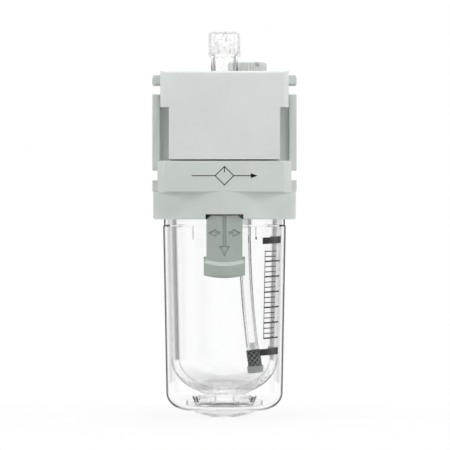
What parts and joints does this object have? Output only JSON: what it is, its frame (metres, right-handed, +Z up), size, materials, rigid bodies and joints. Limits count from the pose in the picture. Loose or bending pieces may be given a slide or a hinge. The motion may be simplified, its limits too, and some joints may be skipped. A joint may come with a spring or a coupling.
{
  "type": "air line lubricator",
  "caption": "Air line lubricator: die-cast body with pipe ports, clear oil bowl in a clear guard with a sliding lock, sight dome that sets the drip rate and a fill plug.",
  "frame": {"origin": "centre of the foot under the bowl, on the bowl axis", "axes": "+Z up along the bowl axis, +X along the air flow out of the outlet port, -Y to the front with the lock button"},
  "size_m": [0.053, 0.0528, 0.1424],
  "materials": {
    "die_cast": "satin paint on a die casting",
    "cover": "satin",
    "clear": "clear, polished",
    "button": "satin",
    "plug": "satin",
    "resin": "satin",
    "tube": "milky, glossy",
    "screen": "woven screen",
    "steel": "bright",
    "seal": "matte"
  },
  "bodies": {
    "body": {"main_body": "die_cast", "front_cover": "cover", "rear_cover": "cover", "damper_retainer": "resin", "retainer_o_ring": "seal", "oil_tube": "tube", "strainer_collar": "resin", "strainer_screen": "screen", "strainer_cap": "plug", "bowl": "clear", "bowl_o_ring": "seal", "bowl_guard": "clear", "lock_spring": "steel", "drip_nozzle": "resin"},
    "lock": {"lock_button": "button"},
    "dome": {"sight_dome": "clear", "dome_o_ring": "seal", "drip_needle": "resin"},
    "plug_seal": {"plug_o_ring": "seal"},
    "plug": {"fill_plug": "plug"},
    "ball": {"check_ball": "steel"},
    "flap": {"damper_flap": "seal"}
  },
  "joints": [
    {"name": "lock_slide", "type": "slide", "parent": "body", "child": "lock", "axis": [0, 0, -1], "range_m": [0, 0.004], "stiffness_N_per_m": 10, "springref_m": -0.004, "deforming": ["lock_spring"]},
    {"name": "drip_adjust", "type": "hinge", "parent": "body", "child": "dome", "pos_m": [0, 0, 0.13], "axis": [0, 0, 1], "range_deg": [-180, 180]},
    {"name": "plug_lift", "type": "slide", "parent": "body", "child": "plug_seal", "axis": [0, 0, 1], "range_m": [0, 0.006]},
    {"name": "plug_turn", "type": "hinge", "parent": "plug_seal", "child": "plug", "pos_m": [0.0089, 0.0116, 0.128], "axis": [0, 0, 1], "range_deg": [-2, 1444]},
    {"name": "ball_lift", "type": "slide", "parent": "body", "child": "ball", "axis": [0, 0, 1], "range_m": [0, 0.0012]},
    {"name": "flap_swing", "type": "hinge", "parent": "body", "child": "flap", "pos_m": [-0.0032, 0, 0.1103], "axis": [0, -1, 0], "range_deg": [0, 35]}
  ],
  "couplings": [
    {"joint": "plug_turn", "follows": "plug_lift", "rad_per_m": 4188.8}
  ]
}
